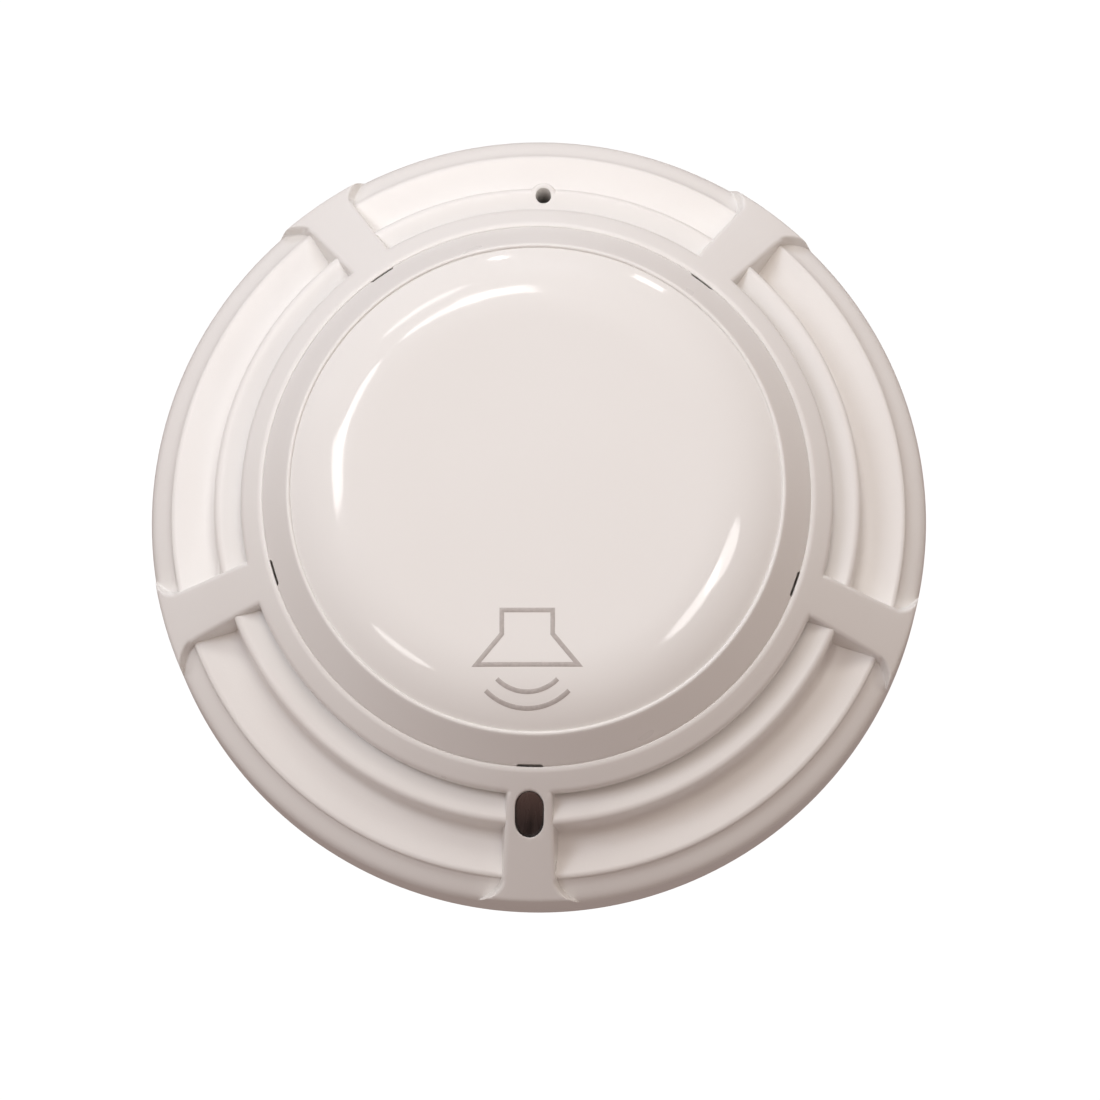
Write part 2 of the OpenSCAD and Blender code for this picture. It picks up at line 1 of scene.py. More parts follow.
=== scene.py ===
"""Ceiling heat detector head with a built-in sounder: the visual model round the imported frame.

Lengths in the shape functions are millimetres, as in the design, and become metres
when a mesh is made. The head faces +Z, and the indicator rib points along -Y.
"""
import json
from math import asin, atan2, cos, degrees, hypot, pi, radians, sin, sqrt, tan

import bmesh
import bpy
from mathutils import Matrix, Vector


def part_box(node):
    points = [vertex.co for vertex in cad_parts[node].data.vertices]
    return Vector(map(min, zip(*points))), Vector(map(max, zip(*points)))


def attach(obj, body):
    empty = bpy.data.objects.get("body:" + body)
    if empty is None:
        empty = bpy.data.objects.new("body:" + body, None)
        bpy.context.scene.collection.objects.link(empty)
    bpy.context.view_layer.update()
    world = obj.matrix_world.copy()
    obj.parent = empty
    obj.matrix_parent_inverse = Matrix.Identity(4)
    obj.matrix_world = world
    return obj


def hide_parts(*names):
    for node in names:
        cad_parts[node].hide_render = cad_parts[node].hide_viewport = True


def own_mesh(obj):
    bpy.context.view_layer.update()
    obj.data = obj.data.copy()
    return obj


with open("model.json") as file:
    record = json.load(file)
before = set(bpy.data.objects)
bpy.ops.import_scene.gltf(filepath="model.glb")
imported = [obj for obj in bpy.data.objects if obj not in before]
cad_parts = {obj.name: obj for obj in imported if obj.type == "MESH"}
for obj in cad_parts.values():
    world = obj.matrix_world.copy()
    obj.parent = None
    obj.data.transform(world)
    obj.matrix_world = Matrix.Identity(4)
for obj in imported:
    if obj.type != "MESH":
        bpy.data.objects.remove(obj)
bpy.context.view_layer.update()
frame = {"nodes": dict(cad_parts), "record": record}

MM = 0.001


def box_mm(node):
    """A node's lowest and highest corners in millimetres."""
    low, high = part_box(node)
    return [v / MM for v in low], [v / MM for v in high]


# ---- Sizes, from the frame and the design ----

cover_low, cover_high = box_mm("front_cover")
dome_high = box_mm("dome_cap")[1]
housing_low, housing_high = box_mm("stepped_housing")

HEAD_R = cover_high[0]
SKIRT_Z = cover_low[2]
RING_Z = cover_high[2]
DOME_Z = dome_high[2]
FLOOR_TOP = housing_low[2]
PLATE_TOP = housing_high[2]

RING_R = 38.6          # radius that the cone's height is measured from
SEAM_R = 38.2          # where the bezel's foot meets the cover
RIB_COUNT = 5
RIB_STEP = 360 / RIB_COUNT
LED_ANGLE = 270
WINDOW_IN = 41.4       # the openings between the ribs, inner and outer edge
WINDOW_OUT = 52
SPAN_IN = WINDOW_IN + 0.04
SHOULDER = (53.3, 15.9)  # where the cone's line ends at the rim: radius and height
CONE_SLOPE = (RING_Z - SHOULDER[1]) / (SHOULDER[0] - RING_R)
CONE_ANGLE = atan2(CONE_SLOPE, 1)
LIP_Z = 26.3           # underside of the ring zone's outer lip
SHELF_Z = 28           # underside and inner radius of the shelf that the bezel sits on
SHELF_IN = 36
BEZEL_SEAT = 29.4
SKIRT_IN = HEAD_R - 2
LENS_Y = 44            # the indicator window, on the rib along -Y
LENS_W = 4
LENS_LEN = 5.8
HOLE = (-0.2, 44.1)    # the tool hole, and the boss round it
HOLE_R = 1.1
BOSS_R = 1.9
DOME_R = 33.85


def cone_z(r):
    """Height of the cone that the ring zone and the ribs' faces lie on."""
    return RING_Z - (r - RING_R) * CONE_SLOPE


def mix(a, b, t):
    return a + (b - a) * t


def smooth(t):
    """A blend from 0 to 1 with a gentle start and end."""
    t = min(max(t, 0), 1)
    return t * t * (3 - 2 * t)


def arc(centre, radius, start, end, steps):
    """Points along an arc, angles in degrees."""
    return [
        (centre[0] + radius * cos(radians(mix(start, end, i / steps))),
         centre[1] + radius * sin(radians(mix(start, end, i / steps))))
        for i in range(steps + 1)
    ]


def along(line, r):
    """The height of a line of (radius, height) points at a radius."""
    for (r0, z0), (r1, z1) in zip(line, line[1:]):
        if r <= r1:
            return mix(z0, z1, (r - r0) / (r1 - r0)) if r > r0 else z0
    return line[-1][1]


# ---- Mesh helpers ----

def make_object(name, points, faces, material, body="head", sharp=40):
    """A mesh object from millimetre points, riding on a body."""
    mesh = bpy.data.meshes.new(name)
    mesh.from_pydata([Vector(p) * MM for p in points], [], faces)
    work = bmesh.new()
    work.from_mesh(mesh)
    bmesh.ops.remove_doubles(work, verts=work.verts, dist=1e-7)
    bmesh.ops.dissolve_degenerate(work, edges=work.edges, dist=1e-8)
    bmesh.ops.recalc_face_normals(work, faces=work.faces)
    work.to_mesh(mesh)
    work.free()
    mesh.materials.append(material)
    obj = bpy.data.objects.new(name, mesh)
    bpy.context.collection.objects.link(obj)
    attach(obj, body)
    shade(obj, sharp)
    return obj


def shade(obj, sharp):
    """Smooth shading, broken at the edges that turn by more than an angle."""
    mesh = obj.data
    mesh.polygons.foreach_set("use_smooth", [True] * len(mesh.polygons))
    mesh.set_sharp_from_angle(angle=radians(sharp))


def cut(obj, points, faces, sharp=40):
    """Takes a closed shape out of an object's mesh."""
    mesh = bpy.data.meshes.new("cutter")
    mesh.from_pydata([Vector(p) * MM for p in points], [], faces)
    work = bmesh.new()
    work.from_mesh(mesh)
    bmesh.ops.recalc_face_normals(work, faces=work.faces)
    work.to_mesh(mesh)
    work.free()
    cutter = bpy.data.objects.new("cutter", mesh)
    bpy.context.collection.objects.link(cutter)
    boolean = obj.modifiers.new("cut", "BOOLEAN")
    boolean.operation = "DIFFERENCE"
    boolean.solver = "EXACT"
    boolean.object = cutter
    graph = bpy.context.evaluated_depsgraph_get()
    result = bpy.data.meshes.new_from_object(obj.evaluated_get(graph))
    obj.modifiers.remove(boolean)
    obj.data = result
    bpy.data.objects.remove(cutter)
    shade(obj, sharp)


def loft(rings, close_ends=True):
    """Points and faces of a skin over rings that all have the same number of points."""
    count = len(rings[0])
    points = [p for ring in rings for p in ring]
    faces = []
    for i in range(len(rings) - 1):
        for k in range(count):
            n = (k + 1) % count
            faces.append((i * count + k, i * count + n, (i + 1) * count + n,
                          (i + 1) * count + k))
    if close_ends:
        faces.append(tuple(range(count)))
        faces.append(tuple((len(rings) - 1) * count + k for k in range(count)))
    return points, faces


def revolve(section, segments=240, shift=(0, 0)):
    """Points and faces of a closed section turned about an axis along Z."""
    count = len(section)
    points, faces = [], []
    for k in range(segments):
        a = 2 * pi * k / segments
        points += [(shift[0] + r * cos(a), shift[1] + r * sin(a), z) for r, z in section]
    for k in range(segments):
        n = (k + 1) % segments
        for i in range(count):
            j = (i + 1) % count
            if section[i][0] < 1e-6 and section[j][0] < 1e-6:
                continue
            faces.append((k * count + i, k * count + j, n * count + j, n * count + i))
    return points, faces


def stadium(length, width, centre, steps=16):
    """A slot's outline in plan, long along Y."""
    r = width / 2
    reach = length / 2 - r
    return ([(centre[0] + x, centre[1] + reach + y) for x, y in arc((0, 0), r, 0, 180, steps)]
            + [(centre[0] + x, centre[1] - reach + y)
               for x, y in arc((0, 0), r, 180, 360, steps)])


# ---- Section lines ----

FOOT_SINK = 0.12       # how deep a rib's foot sinks into the housing
EDGE_R = 0.7           # rounding of a rib's edges
RING_EDGE_R = 0.5      # rounding of the ring zone's outer edge
TURN_R = 1.6           # rounding of a rib's outer end
TURN_C = HEAD_R - TURN_R
TURN_Z = cone_z(TURN_C + TURN_R * sin(CONE_ANGLE)) - TURN_R * cos(CONE_ANGLE)

# The cover's rim between the ribs: a steep start, a face at about 45 degrees, the outer turn
RIM = [(WINDOW_OUT, 14.86), (52.2, 14.52), (52.45, 14.17), (52.75, 13.83), (53.15, 13.44),
       (53.6, 13.03), (54.05, 12.6), (54.4, 12.18), (54.65, 11.78), (54.82, 11.35),
       (54.92, 10.95), (HEAD_R, 10.5)]
# The housing's top between the ribs: upper tread, rounded nose, wall, lower tread
TERRACE = ([(41.2, PLATE_TOP), (42.2, 24.42), (43.7, 24.32)] + arc((44.2, 23.15), 1.15, 80, 6, 8)
           + [(45.37, 21.3), (45.4, 19.6), (45.44, 18.3), (45.53, 17.5), (45.72, 17),
              (46.02, 16.7), (46.45, 16.5), (47.1, 16.36), (48, 16.24), (49.2, 16.12)]
           + arc((51.1, 15.1), 0.9, 84, 30, 6) + [(51.96, 15.25), (51.99, 14.89)])


def rib_top(r):
    """Height of a rib's face, with the turn at its outer end."""
    if r < TURN_C + TURN_R * sin(CONE_ANGLE):
        return cone_z(r)
    return TURN_Z + sqrt(max(TURN_R ** 2 - (r - TURN_C) ** 2, 0))


def ground(r):
    """Height of a rib's foot: just inside the housing's top, then on the rim."""
    if r < WINDOW_OUT:
        return min(along(TERRACE, r), PLATE_TOP) - FOOT_SINK
    return along(RIM, r)


# ---- Columns: lines that run out from the centre, each following a rib's edge ----

SLOT_PART = 0.78       # share of a rib's face that lies behind the bezel's slot
FACE_PARTS = [-1, -0.9, -SLOT_PART, -0.5, -0.25, 0, 0.25, 0.5, SLOT_PART, 0.9, 1]
DRAFT = 0.1            # sideways lean of a rib's side per millimetre of depth
ROUND_TURNS = [12, 26, 42, 58, 72, 84.3]
DRAFT_PARTS = [0.33, 0.66, 1]
FLANK_STEPS = [("turn", t) for t in ROUND_TURNS] + [("draft", t) for t in DRAFT_PARTS]
# How far from a rib's foot the columns beside it run
EDGE_STEPS = [0.3, 0.65, 1.05, 1.5, 2.1, 2.8, 3.7, 4.8]
MID_STEPS = 26
FACE_HALF = 2.45       # half of a rib's face at its inner end
FACE_TAPER = 0.05      # how much that grows per millimetre outwards
FLARE_FROM = 51        # radius where the flare starts, its rounding, and the share of it used
FLARE_R = 4.2
FLARE_PART = 0.97
FOOT_SPREAD = 0.9      # share by which a rib's foot widens, over how many millimetres of rim
SPREAD_LENGTH = 3
SOFTEN_LENGTH = 1.2    # millimetres of rim over which a rib's edge turns into a soft slope


def face_half(r):
    """Half of the width of a rib's face, which flares where it meets the rim."""
    reach = min(max(r - FLARE_FROM, 0), FLARE_R * FLARE_PART)
    return (FACE_HALF + FACE_TAPER * max(min(r, WINDOW_OUT) - WINDOW_IN, 0)
            + FLARE_R - sqrt(FLARE_R ** 2 - reach ** 2))


def flank_point(step, r):
    """A flank step's distance from the face's edge, and its drop below the face."""
    depth = rib_top(r) - ground(r)
    kind, value = step
    turn = radians(value if kind == "turn" else ROUND_TURNS[-1])
    edge = min(EDGE_R, depth)
    out, drop = edge * sin(turn), edge * (1 - cos(turn))
    if kind == "draft":
        rest = (depth - drop) * value
        out, drop = out + DRAFT * rest, drop + rest
    return out, drop


def within_span(r):
    """The nearest radius that lies between the ring zone and the rim."""
    return min(max(r, SPAN_IN), WINDOW_OUT)


def flank_width(r):
    """How far a rib's foot lies outside the edge of its face."""
    spread = 1 + FOOT_SPREAD * smooth((r - WINDOW_OUT) / SPREAD_LENGTH)
    return flank_point(FLANK_STEPS[-1], within_span(r))[0] * spread


def make_columns():
    """Every column as (kind, rib angle, value), once round the head."""
    columns = []
    for i in range(RIB_COUNT):
        rib = LED_ANGLE + i * RIB_STEP
        columns += [("low", rib, step) for step in reversed(FLANK_STEPS)]
        columns += [("face", rib, t) for t in FACE_PARTS]
        columns += [("high", rib, step) for step in FLANK_STEPS]
        columns += [("out", rib, d) for d in EDGE_STEPS]
        columns += [("mid", rib, (m + 1) / (MID_STEPS + 1)) for m in range(MID_STEPS)]
        columns += [("in", rib + RIB_STEP, d) for d in reversed(EDGE_STEPS)]
    return columns


COLUMNS = make_columns()
RIB_KINDS = ("low", "face", "high")


def is_foot(column):
    return column[0] in ("low", "high") and column[2] == FLANK_STEPS[-1]


def flank_place(step, r):
    """A flank step's distance from the face's edge, stretched over the rim."""
    inside = within_span(r)
    share = flank_point(step, inside)[0] / flank_point(FLANK_STEPS[-1], inside)[0]
    return share * flank_width(r)


def column_offset(column, r):
    """A column's sideways distance from its rib's middle line, in millimetres."""
    kind, _, value = column
    half = face_half(r)
    if kind == "face":
        return value * half
    if kind in ("low", "high"):
        return (half + flank_place(value, r)) * (1 if kind == "high" else -1)
    reach = half + flank_width(r)
    if kind == "out":
        return reach + value
    if kind == "in":
        return -reach - value
    return reach + EDGE_STEPS[-1]


def column_angle(column, r):
    """The direction from the centre, in radians, in which a column runs at a radius."""
    offset = asin(column_offset(column, r) / r)
    if column[0] == "mid":
        return mix(radians(column[1]) + offset, radians(column[1] + RIB_STEP) - offset,
                   column[2])
    return radians(column[1]) + offset


def on_column(column, r, z):
    a = column_angle(column, r)
    return (r * cos(a), r * sin(a), z)


def cover_height(column, r):
    """Height of the cover's outer skin outside the ring zone."""
    kind, _, value = column
    if kind == "face":
        return rib_top(r)
    if kind not in RIB_KINDS:
        return along(RIM, r)
    inside = min(r, WINDOW_OUT)
    depth = rib_top(inside) - ground(inside)
    share = flank_point(value, inside)[1] / depth
    if r > WINDOW_OUT:
        soft = smooth(flank_place(value, r) / flank_width(r))
        share = mix(share, soft, smooth((r - WINDOW_OUT) / SOFTEN_LENGTH))
    return mix(rib_top(r), ground(r), share)


def ring_height(column, r):
    """Height of the ring zone, whose outer edge is rounded between the ribs."""
    near = max(RING_EDGE_R - (WINDOW_IN - r), 0)
    drop = RING_EDGE_R - sqrt(RING_EDGE_R ** 2 - near ** 2)
    if column[0] == "face":
        drop = 0
    elif column[0] in RIB_KINDS:
        drop *= smooth(flank_place(column[2], r) / flank_width(r))
    return cone_z(r) - drop


# ---- Front cover ----

BEAD_TOP = RING_Z - 0.1
BEAD_R = 1.2
COVER_SHARP = 50       # the cover's shading breaks at edges that turn by more degrees


def bead_line():
    """The ring zone's inner edge, which stands up as a soft bead."""
    corner = RING_R + (RING_Z - BEAD_TOP) / CONE_SLOPE
    centre = (corner - BEAD_R * tan(CONE_ANGLE / 2), BEAD_TOP - BEAD_R)
    end = 90 - degrees(CONE_ANGLE)
    return ([(SEAM_R, BEZEL_SEAT), (SEAM_R, BEAD_TOP - 0.06), (SEAM_R + 0.06, BEAD_TOP - 0.01)]
            + arc(centre, BEAD_R, 86, end, 6))


def front_cover(material):
    """Ring zone, ribs, rim and skirt as one skin, woven from columns and rows."""
    bead = bead_line()
    ring_r = [39.9, 40.4] + [WINDOW_IN - d for d in (0.75, 0.5, 0.35, 0.22, 0.12, 0.04, 0)]
    span_r = [SPAN_IN] + [r for r, _ in TERRACE if WINDOW_IN + 0.2 < r < WINDOW_OUT - 0.05]
    rim = [("rim", r) for r, _ in RIM]
    skirt = [(HEAD_R, 10), (HEAD_R, 6.5), (HEAD_R, 3.2), (HEAD_R, SKIRT_Z + 0.5),
             (HEAD_R - 0.05, SKIRT_Z + 0.3), (HEAD_R - 0.15, SKIRT_Z + 0.13),
             (HEAD_R - 0.3, SKIRT_Z + 0.03), (HEAD_R - 0.5, SKIRT_Z),
             (SKIRT_IN + 0.3, SKIRT_Z), (SKIRT_IN + 0.08, SKIRT_Z + 0.08),
             (SKIRT_IN, SKIRT_Z + 0.3), (SKIRT_IN, 6), (SKIRT_IN, FLOOR_TOP),
             (WINDOW_OUT, FLOOR_TOP)]
    lip_in = WINDOW_IN - 0.5
    slot_in = SEAM_R - 0.06
    under = [(WINDOW_IN, LIP_Z), (lip_in, LIP_Z), (SEAM_R, SHELF_Z), (SHELF_IN, SHELF_Z),
             (SHELF_IN, BEZEL_SEAT)]

    top_rows = [("bead", i) for i in range(len(bead))] + [("ring", r) for r in ring_r]
    span_rows = [("span", r) for r in span_r]
    outer_rows = rim + [("skirt", i) for i in range(len(skirt))]
    under_rows = [("under", i) for i in range(len(under))]
    base_rows = [("base", r) for r in [lip_in] + span_r]
    rib_loop = top_rows + span_rows + outer_rows + base_rows[::-1] + under_rows[1:]
    ring_loop = top_rows + under_rows
    points, index, faces = [], {}, []

    def vertex(k, row):
        if (k, row) not in index:
            column = COLUMNS[k]
            kind, value = row
            if kind == "bead":
                r, z = bead[value]
            elif kind == "ring":
                r, z = value, ring_height(column, value)
            elif kind in ("span", "rim"):
                r, z = value, cover_height(column, value)
            elif kind == "skirt":
                r, z = skirt[value]
            elif kind == "base":
                r, z = value, FLOOR_TOP
            else:
                r, z = under[value]
                # The shelf is cut back behind the bezel's slots
                if r == SHELF_IN and column[0] == "face" and abs(column[2]) <= SLOT_PART:
                    r = slot_in
            index[(k, row)] = len(points)
            points.append(on_column(column, r, z))
        return index[(k, row)]

    def strip(k, n, rows, closed):
        pairs = list(zip(rows, rows[1:])) + ([(rows[-1], rows[0])] if closed else [])
        for a, b in pairs:
            faces.append([vertex(k, a), vertex(k, b), vertex(n, b), vertex(n, a)])

    count = len(COLUMNS)
    for k in range(count):
        n = (k + 1) % count
        if COLUMNS[k][0] in RIB_KINDS and COLUMNS[n][0] in RIB_KINDS:
            strip(k, n, rib_loop, True)
        else:
            strip(k, n, ring_loop, True)
            strip(k, n, outer_rows, True)
    for k in range(count):
        if not is_foot(COLUMNS[k]):
            continue
        # A rib's side below its foot, and the piece of it under the ring zone
        sides = span_rows + [rim[0]]
        floor = base_rows[1:] + [outer_rows[-1]]
        for (a, b), (c, d) in zip(zip(sides, sides[1:]), zip(floor, floor[1:])):
            faces.append([vertex(k, a), vertex(k, b), vertex(k, d), vertex(k, c)])
        faces.append([vertex(k, row) for row in
                      (top_rows[-1], under_rows[0], under_rows[1], base_rows[0],
                       base_rows[1], span_rows[0])])
    obj = make_object("cover_shell", points, faces, material, sharp=COVER_SHARP)
    cut_window(obj)
    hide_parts("front_cover")


def cut_window(cover):
    """Cuts the indicator's window, with a small rounded edge that follows the cone."""
    rings = []
    for grow, dz in [(0, None), (0, -0.3), (0.05, -0.13), (0.15, -0.03), (0.32, 0.03), (1, 2)]:
        outline = stadium(LENS_LEN + 2 * grow, LENS_W + 2 * grow, (0, -LENS_Y))
        rings.append([(x, y, FLOOR_TOP - 1 if dz is None else cone_z(-y) + dz)
                      for x, y in outline])
    cut(cover, *loft(rings), sharp=COVER_SHARP)


# ---- Indicator window ----

def indicator_window(material):
    """The dark lens, a little below the rib's face and rounded towards its edge."""
    low, _ = box_mm("light_pipe")
    gap = 0.08
    rings = []
    for inset, dz in [(0, None), (0, -0.75), (0.06, -0.6), (0.2, -0.48), (0.45, -0.41),
                      (0.9, -0.36), (1.4, -0.34)]:
        shrink = 2 * (inset + gap)
        outline = stadium(LENS_LEN - shrink, LENS_W - shrink, (0, -LENS_Y))
        rings.append([(x, y, low[2] if dz is None else cone_z(-y) + dz) for x, y in outline])
    obj = make_object("indicator_window", *loft(rings), material)
    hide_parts("light_pipe")


# ---- Stepped housing ----

NOTCH_HALF = 3.15      # the ribs' flanks hide this edge
HOLE_SECTOR = 2        # counted from the indicator rib
PLATE_UNDER = 23       # underside of the housing's middle plate, and where the terraces begin
PLATE_R = 38.6


def terrace_sector(rib, steps=44):
    """Points and faces of the terraces between one rib and the next."""
    inner = [(50.3, FLOOR_TOP), (50.3, 13.6), (49.6, 14.3), (43.7, 15.2), (42.9, 22.4),
             (42.3, PLATE_UNDER), (PLATE_R, PLATE_UNDER)]
    loop = [(PLATE_R, PLATE_TOP)] + TERRACE + [(51.87, FLOOR_TOP)] + inner
    rings = []
    for k in range(steps + 1):
        ring = []
        for r, z in loop:
            edge = asin(NOTCH_HALF / r)
            a = mix(radians(rib) + edge, radians(rib + RIB_STEP) - edge, k / steps)
            ring.append((r * cos(a), r * sin(a), z))
        rings.append(ring)
    return loft(rings)


def stepped_housing(material):
    """The middle plate and five sectors of terraces, one of them drilled for the tool hole."""
    edge = PLATE_R - 0.1
    points, faces = revolve([(0, PLATE_TOP), (edge, PLATE_TOP), (edge, PLATE_UNDER),
                             (0, PLATE_UNDER)], 120)
    for i in range(RIB_COUNT):
        if i == HOLE_SECTOR:
            continue
        new_points, new_faces = terrace_sector(LED_ANGLE + i * RIB_STEP)
        faces += [tuple(len(points) + v for v in face) for face in new_faces]
        points += new_points
    obj = make_object("terrace_shell", points, faces, material)
    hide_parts("stepped_housing")

    drilled = make_object("drilled_terrace", *terrace_sector(LED_ANGLE + HOLE_SECTOR * RIB_STEP),
                          material)
    drill = [(0, 10), (HOLE_R + 0.01, 10), (HOLE_R + 0.01, 30), (0, 30)]
    cut(drilled, *revolve(drill, 48, HOLE))
    # The hole's boss stands against the wall between the terraces
    top = 24.28
    boss = [(BOSS_R, 15), (BOSS_R, top - 0.35), (BOSS_R - 0.1, top - 0.12),
            (BOSS_R - 0.3, top), (HOLE_R + 0.25, top), (HOLE_R + 0.07, top - 0.07),
            (HOLE_R, top - 0.25), (HOLE_R, 15)]
    collar = make_object("tool_hole_collar", *revolve(boss, 48, HOLE), material)


# ---- Bezel ----

def bezel_ring(material):
    """The cone between the cover and the dome, with a shallow slot at its foot by each rib."""
    foot_r, foot_z = SEAM_R, BEAD_TOP - 0.05
    crest_r, crest_z, crest = 34.3, 36.2, 0.45
    # A slot's depth in millimetres, and half of its length and its ends' rounding in degrees
    notch, notch_half, notch_end = 0.34, 2.85, 0.5
    face_turn = radians(40)
    edge_r = crest_r + crest * cos(face_turn)
    edge_z = crest_z + crest * sin(face_turn)

    def face_z(r):
        t = (foot_r - r) / (foot_r - edge_r)
        return mix(foot_z, edge_z, t)

    face = [37.9, 37.4, 36.6, 35.7, 35]
    lip = 0.24
    top = (arc((crest_r, crest_z), crest, 38, 90, 6)
           + arc((crest_r, crest_z + crest - lip), lip, 100, 180, 4)
           + [(crest_r - lip, 35.2), (31.4, 35.2), (31.4, 34), (33.6, 34),
              (36.2, BEZEL_SEAT)])
    near_slot = [-notch_half - 0.02, -notch_half, -2.75, -2.5, -2.1, -1.4, -0.7, 0, 0.7, 1.4, 2.1,
            2.5, 2.75, notch_half, notch_half + 0.02]
    gap, gap_steps = RIB_STEP - 2 * near_slot[-1], 40
    angles = []
    for i in range(RIB_COUNT):
        rib = LED_ANGLE + i * RIB_STEP
        angles += [(rib + a, notch * min((notch_half - abs(a)) / notch_end, 1) ** 0.5
                    if abs(a) < notch_half else 0) for a in near_slot]
        angles += [(rib + near_slot[-1] + gap * m / gap_steps, 0)
                   for m in range(1, gap_steps)]
    rings = []
    for a, depth in angles:
        r = foot_r - depth
        section = [(r, BEZEL_SEAT), (r, face_z(r))] + [(q, face_z(q)) for q in face] + top
        rings.append([(q * cos(radians(a)), q * sin(radians(a)), z) for q, z in section])
    rings.append(rings[0])
    obj = make_object("bezel_shell", *loft(rings, close_ends=False), material)
    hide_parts("bezel_ring")


# ---- Dome and printed mark ----

CROWN_DROP = 0.5       # how far the crown falls from the middle to the shoulder
SHOULDER_IN = 23.5     # radius where the shoulder starts
CROWN_R = (SHOULDER_IN ** 2 + CROWN_DROP ** 2) / (2 * CROWN_DROP)
EDGE_SLOPE = 35        # degrees, at the dome's edge
SLOPE_POWER = 1.3      # how late the shoulder tightens


def dome_slope(r):
    """The dome's slope in radians: a faint crown, then a shoulder that tightens."""
    lean = asin(min(r, SHOULDER_IN) / CROWN_R)
    t = max((r - SHOULDER_IN) / (DOME_R - SHOULDER_IN), 0)
    return lean + (radians(EDGE_SLOPE) - lean) * t ** SLOPE_POWER


def make_dome_line():
    """The dome's section as (radius, height), from the middle outwards."""
    line = [(0, DOME_Z)]
    step = 0.15
    while line[-1][0] < DOME_R - 0.25:
        r, z = line[-1]
        line.append((r + step, z - step * tan(dome_slope(r + step / 2))))
    return line


DOME_LINE = make_dome_line()


def dome_z(r):
    """Height of the dome's face at a radius."""
    return along(DOME_LINE, r)


def dome_cap(material):
    """The glossy pillow, with a wall and an edge that goes down behind the bezel's crest."""
    every, wall, foot_z, inner_r = 5, 1.8, 35.25, 30
    coarse = [p for i, p in enumerate(DOME_LINE)
              if i % every == 0 or i == len(DOME_LINE) - 1]
    r, z = coarse[-1]
    edge = [(r + 0.12, z - 0.09), (r + 0.22, z - 0.16), (r + 0.5, z - 0.24), (r + 0.5, z - 0.6),
            (r + 0.2, foot_z), (r - 1.2, foot_z)]
    inner = [(q, h - wall) for q, h in reversed(coarse) if q < inner_r]
    obj = make_object("dome_shell", *revolve(coarse + edge + inner, 300), material)
    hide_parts("dome_cap")


MARK_LINE = 0.63       # width of the printed lines
MARK_X = -1.1
MARK_TURN = radians(1.3)
# A printed line's section: sideways as a share of its width, and lift off the dome
MARK_SECTION = [(-0.5, -0.05), (-0.5, 0.02), (-0.42, 0.045), (0, 0.055), (0.42, 0.045),
                (0.5, 0.02), (0.5, -0.05)]


def on_mark(x, y, lift):
    """A point of the printed symbol, laid on the dome."""
    px = MARK_X + x * cos(MARK_TURN) - y * sin(MARK_TURN)
    py = x * sin(MARK_TURN) + y * cos(MARK_TURN)
    return (px, py, dome_z(hypot(px, py)) + lift)


def sounder_mark(material):
    """The printed loudspeaker: a closed outline and two sound arcs below it."""
    neck, mouth = 3.5, 7
    outline = [(-neck, -17.7), (neck, -17.7), (neck, -21), (mouth, -25.2), (-mouth, -25.2),
               (-neck, -21)]
    wave_radii, wave_y, wave_steps, spacing = (5.9, 8.1), -23, 24, 0.7
    points, faces = [], []

    def ink(stations, closed):
        """A printed line through stations of (x, y, sideways x, sideways y)."""
        rings = [[on_mark(x + sx * t * MARK_LINE, y + sy * t * MARK_LINE, lift)
                  for t, lift in MARK_SECTION] for x, y, sx, sy in stations]
        if closed:
            rings.append(rings[0])
        new_points, new_faces = loft(rings, close_ends=not closed)
        faces.extend([tuple(len(points) + v for v in face) for face in new_faces])
        points.extend(new_points)

    stations = []
    count = len(outline)
    for k in range(count):
        before, here, after = (Vector(outline[(k + j) % count]) for j in (-1, 0, 1))
        into, away = (here - before).normalized(), (after - here).normalized()
        side_in = Vector((into.y, -into.x))
        side_out = Vector((away.y, -away.x))
        mitre = (side_in + side_out).normalized()
        mitre /= mitre.dot(side_out)
        stations.append((here.x, here.y, mitre.x, mitre.y))
        steps = int((after - here).length / spacing)
        for i in range(1, steps):
            p = here.lerp(after, i / steps)
            stations.append((p.x, p.y, side_out.x, side_out.y))
    ink(stations, True)
    for r in wave_radii:
        turns = [radians(mix(225, 315, i / wave_steps)) for i in range(wave_steps + 1)]
        ink([(r * cos(a), wave_y + r * sin(a), cos(a), sin(a)) for a in turns], False)
    obj = make_object("printed_mark", points, faces, material)
    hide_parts("sounder_mark")


def latch_spring(material):
    """The latch's return spring, wound with closed ends."""
    seat_y, latch_y, mid_z = 34.6, 41, 13.3
    coil_r, wire_r, turns, closed = 1.1, 0.2, 5, 0.42
    steps, sides = 28, 10
    pitch = (latch_y - seat_y - 2 * wire_r - 2 * closed) / (turns - 2)
    rings = []
    for i in range(turns * steps + 1):
        n = i / steps
        y = (seat_y + wire_r + closed * (min(n, 1) + max(n - turns + 1, 0))
             + pitch * min(max(n - 1, 0), turns - 2))
        turn = 2 * pi * n
        ring = []
        for k in range(sides):
            side = 2 * pi * k / sides
            r = coil_r + wire_r * cos(side)
            ring.append((r * cos(turn), y + wire_r * sin(side), mid_z + r * sin(turn)))
        rings.append(ring)
    spring = make_object("return_spring", *loft(rings), material)
    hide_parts("latch_spring")
    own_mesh(spring)




# ---- Materials ----

